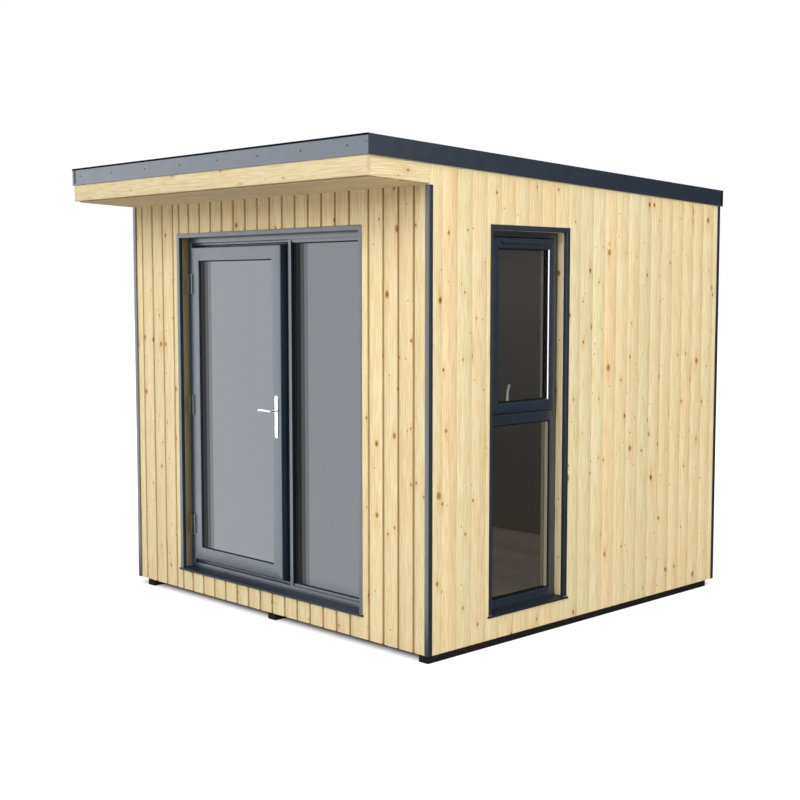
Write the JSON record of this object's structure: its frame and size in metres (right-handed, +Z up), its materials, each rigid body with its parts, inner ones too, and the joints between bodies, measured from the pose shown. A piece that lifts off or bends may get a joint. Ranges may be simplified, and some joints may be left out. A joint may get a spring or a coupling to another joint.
{
  "type": "garden office pod",
  "caption": "Free-standing timber garden office pod with a shallow mono-pitch roof, a front canopy, a glazed outward-opening door beside a fixed pane, and a tall side window.",
  "frame": {"origin": "on the ground, under the centre of the roof's plan", "axes": "+X to the right along the front, +Y from the door side to the back, +Z up"},
  "size_m": [2.54, 2.9, 2.5],
  "materials": {
    "cladding_pine": "planed softwood boards with small knots",
    "floor_wood": "matt floor boards",
    "bearer_timber": "black treated timber",
    "structural_panel": "insulated timber panel",
    "wall_lining": "plain matt wall lining",
    "edge_metal": "satin anthracite powder coat",
    "frame_plastic": "satin anthracite frame profile",
    "roof_rubber": "black roof membrane",
    "hinge_metal": "satin silver",
    "polished_metal": "polished",
    "glazing": "clear double glazing"
  },
  "bodies": {
    "building": {"bearer_left": "bearer_timber", "bearer_middle": "bearer_timber", "bearer_right": "bearer_timber", "floor_panel": "structural_panel", "floor_boards": "floor_wood", "left_wall": "wall_lining", "back_wall": "wall_lining", "front_wall_left": "wall_lining", "front_wall_right": "wall_lining", "front_wall_over_door": "wall_lining", "right_wall_front": "wall_lining", "right_wall_back": "wall_lining", "right_wall_over_window": "wall_lining", "front_cladding": "cladding_pine", "left_cladding": "cladding_pine", "right_cladding": "cladding_pine", "back_cladding": "cladding_pine", "corner_trims": "edge_metal", "roof_panel": "structural_panel", "roof_membrane": "roof_rubber", "roof_trim_front": "edge_metal", "roof_trim_back": "edge_metal", "roof_trim_sides": "edge_metal", "soffit": "cladding_pine", "fascia_front": "cladding_pine", "fascia_sides": "cladding_pine", "door_trim": "edge_metal", "door_lining": "cladding_pine", "door_sill": "edge_metal", "door_jamb_left": "frame_plastic", "door_jamb_right": "frame_plastic", "door_head": "frame_plastic", "door_threshold": "frame_plastic", "door_mullion": "frame_plastic", "sidelight_bead": "frame_plastic", "sidelight_glass": "glazing", "hinge_frame_halves": "hinge_metal", "window_trim": "edge_metal", "window_lining": "cladding_pine", "window_sill": "edge_metal", "window_frame": "frame_plastic", "casement": "frame_plastic", "casement_glass": "glazing", "lower_glass": "glazing", "trickle_vent": "frame_plastic", "window_handle": "polished_metal"},
    "door": {"door_leaf": "frame_plastic", "door_glass": "glazing", "hinge_leaf_halves": "hinge_metal", "handle_plates": "polished_metal"},
    "lever": {"lever_handle": "polished_metal"}
  },
  "joints": [
    {"name": "door_hinge", "type": "hinge", "parent": "building", "child": "door", "pos_m": [-0.7255, -1.0225, 0], "axis": [0, 0, -1], "range_deg": [0, 90]},
    {"name": "lever_turn", "type": "hinge", "parent": "door", "child": "lever", "pos_m": [0.061, -1.01, 1.145], "axis": [0, -1, 0], "range_deg": [0, 35], "stiffness_Nm_per_rad": 3, "springref_deg": -20.05}
  ]
}
